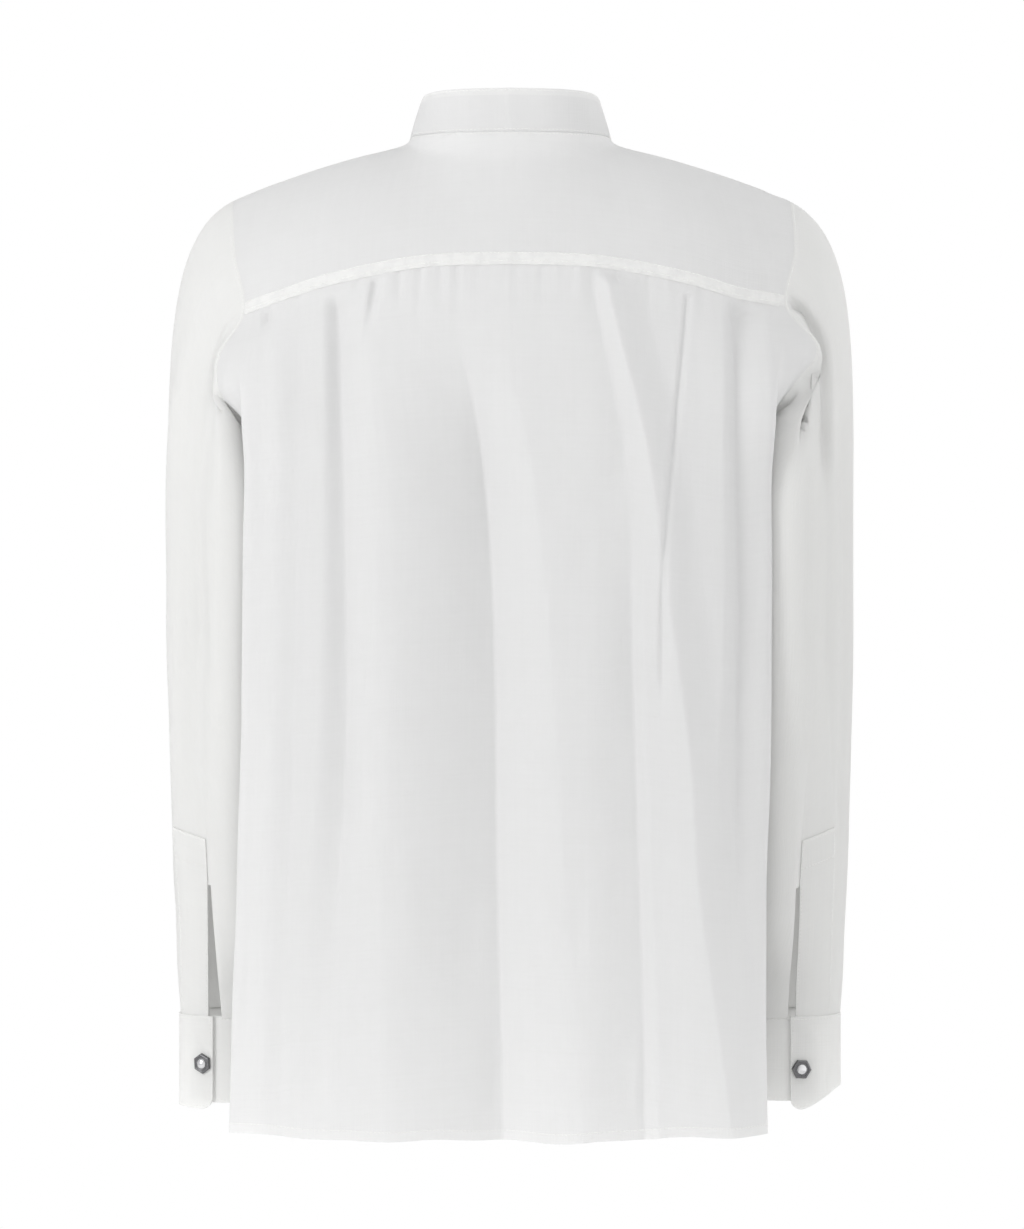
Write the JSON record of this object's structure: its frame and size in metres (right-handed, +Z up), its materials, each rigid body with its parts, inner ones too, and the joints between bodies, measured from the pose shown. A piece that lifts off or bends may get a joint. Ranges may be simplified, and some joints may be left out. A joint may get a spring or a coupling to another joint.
{
  "type": "button-up shirt",
  "caption": "Long-sleeved button-up shirt with a stand collar, a yoked and gathered back, buttoned cuffs and faceted metal buttons.",
  "frame": {"origin": "the middle of the neck opening, level with the collar seam at the sides of the neck", "axes": "+X to the wearer's left, +Y to the wearer's back, +Z up"},
  "size_m": [0.4822, 0.22, 0.7216],
  "materials": {
    "cloth": "thin white woven cloth, slightly sheer, matt",
    "band_cloth": "the same cloth in several layers, pressed flat and edge-stitched",
    "button_metal": "polished grey metal with a darker rim"
  },
  "bodies": {
    "root": {"back": "cloth", "yoke": "cloth", "front_left": "cloth", "front_right": "cloth", "sleeve_left": "cloth", "sleeve_right": "cloth", "collar_band": "band_cloth", "cuff_left": "band_cloth", "cuff_right": "band_cloth", "sleeve_placket_left": "band_cloth", "sleeve_placket_right": "band_cloth", "button_1": "button_metal", "button_2": "button_metal", "button_3": "button_metal", "button_4": "button_metal", "button_5": "button_metal", "button_6": "button_metal", "button_7": "button_metal", "collar_button": "button_metal", "cuff_button_left": "button_metal", "cuff_button_right": "button_metal"}
  },
  "joints": []
}
